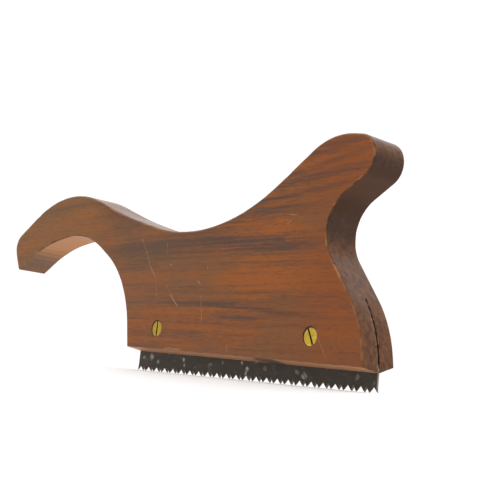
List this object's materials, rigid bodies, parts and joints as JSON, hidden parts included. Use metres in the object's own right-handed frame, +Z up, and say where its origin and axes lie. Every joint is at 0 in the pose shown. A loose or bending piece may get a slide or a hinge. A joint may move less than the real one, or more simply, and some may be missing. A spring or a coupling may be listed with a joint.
{
  "type": "stair saw",
  "caption": "Short hand saw for housings and grooves: one shaped hardwood board with a front hook and a rear tote, and a toothed steel plate held in a kerf along its sole by countersunk screws.",
  "frame": {"origin": "under the middle of the overall length, on the middle plane of the board, at the line of the tooth points", "axes": "+X runs along the saw plate from the toe (hook end) to the heel (tote end), +Z is up, and the cheek with the screw heads faces -Y"},
  "size_m": [0.2968, 0.0182, 0.1023],
  "materials": {
    "stock_wood": "oiled, open grained, lightly scratched",
    "plate_steel": "dark patina with rubbed spots",
    "screw_brass": "worn"
  },
  "bodies": {
    "handle": {"stock": "stock_wood", "toe_screw": "screw_brass", "heel_screw": "screw_brass"},
    "plate": {"saw_plate": "plate_steel"}
  },
  "joints": [
    {"name": "depth_slide", "type": "slide", "parent": "handle", "child": "plate", "axis": [0, 0, 1], "range_m": [0, 0.0055]}
  ]
}
